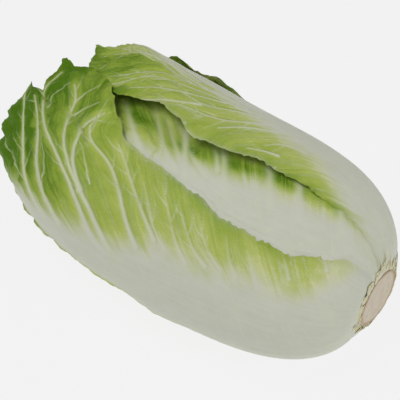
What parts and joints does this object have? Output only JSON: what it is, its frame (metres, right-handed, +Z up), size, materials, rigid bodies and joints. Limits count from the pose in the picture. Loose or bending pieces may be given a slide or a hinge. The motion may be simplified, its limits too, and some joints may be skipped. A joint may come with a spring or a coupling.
{
  "type": "napa cabbage",
  "caption": "Whole napa cabbage head lying on its side: pale ribbed leaves with ruffled green tips, wrapped in overlapping whorls round a cut stem.",
  "frame": {"origin": "on the surface that the head lies on, under the middle of its length and width", "axes": "+X along the head towards the cut stem, +Z up, and -Y out of the side where the widest outer leaf's midrib is"},
  "size_m": [0.2693, 0.1532, 0.1458],
  "materials": {
    "outer_leaf": "satin, white midrib running out into a green blade",
    "middle_leaf": "satin, white midrib running out into a light green blade",
    "heart_leaf": "satin, cream midrib running out into a pale yellow blade",
    "cut_stem": "dull, moist cut plant fibre with a browned rim"
  },
  "bodies": {
    "root": {"outer_leaf_1": "outer_leaf", "outer_leaf_2": "outer_leaf", "outer_leaf_3": "outer_leaf", "outer_leaf_4": "outer_leaf", "outer_leaf_5": "outer_leaf", "middle_leaf_1": "middle_leaf", "middle_leaf_2": "middle_leaf", "middle_leaf_3": "middle_leaf", "middle_leaf_4": "middle_leaf", "middle_leaf_5": "middle_leaf", "inner_leaf_1": "heart_leaf", "inner_leaf_2": "heart_leaf", "inner_leaf_3": "heart_leaf", "inner_leaf_4": "heart_leaf", "inner_leaf_5": "heart_leaf", "heart_leaves": "heart_leaf", "cut_stem": "cut_stem"}
  },
  "joints": []
}
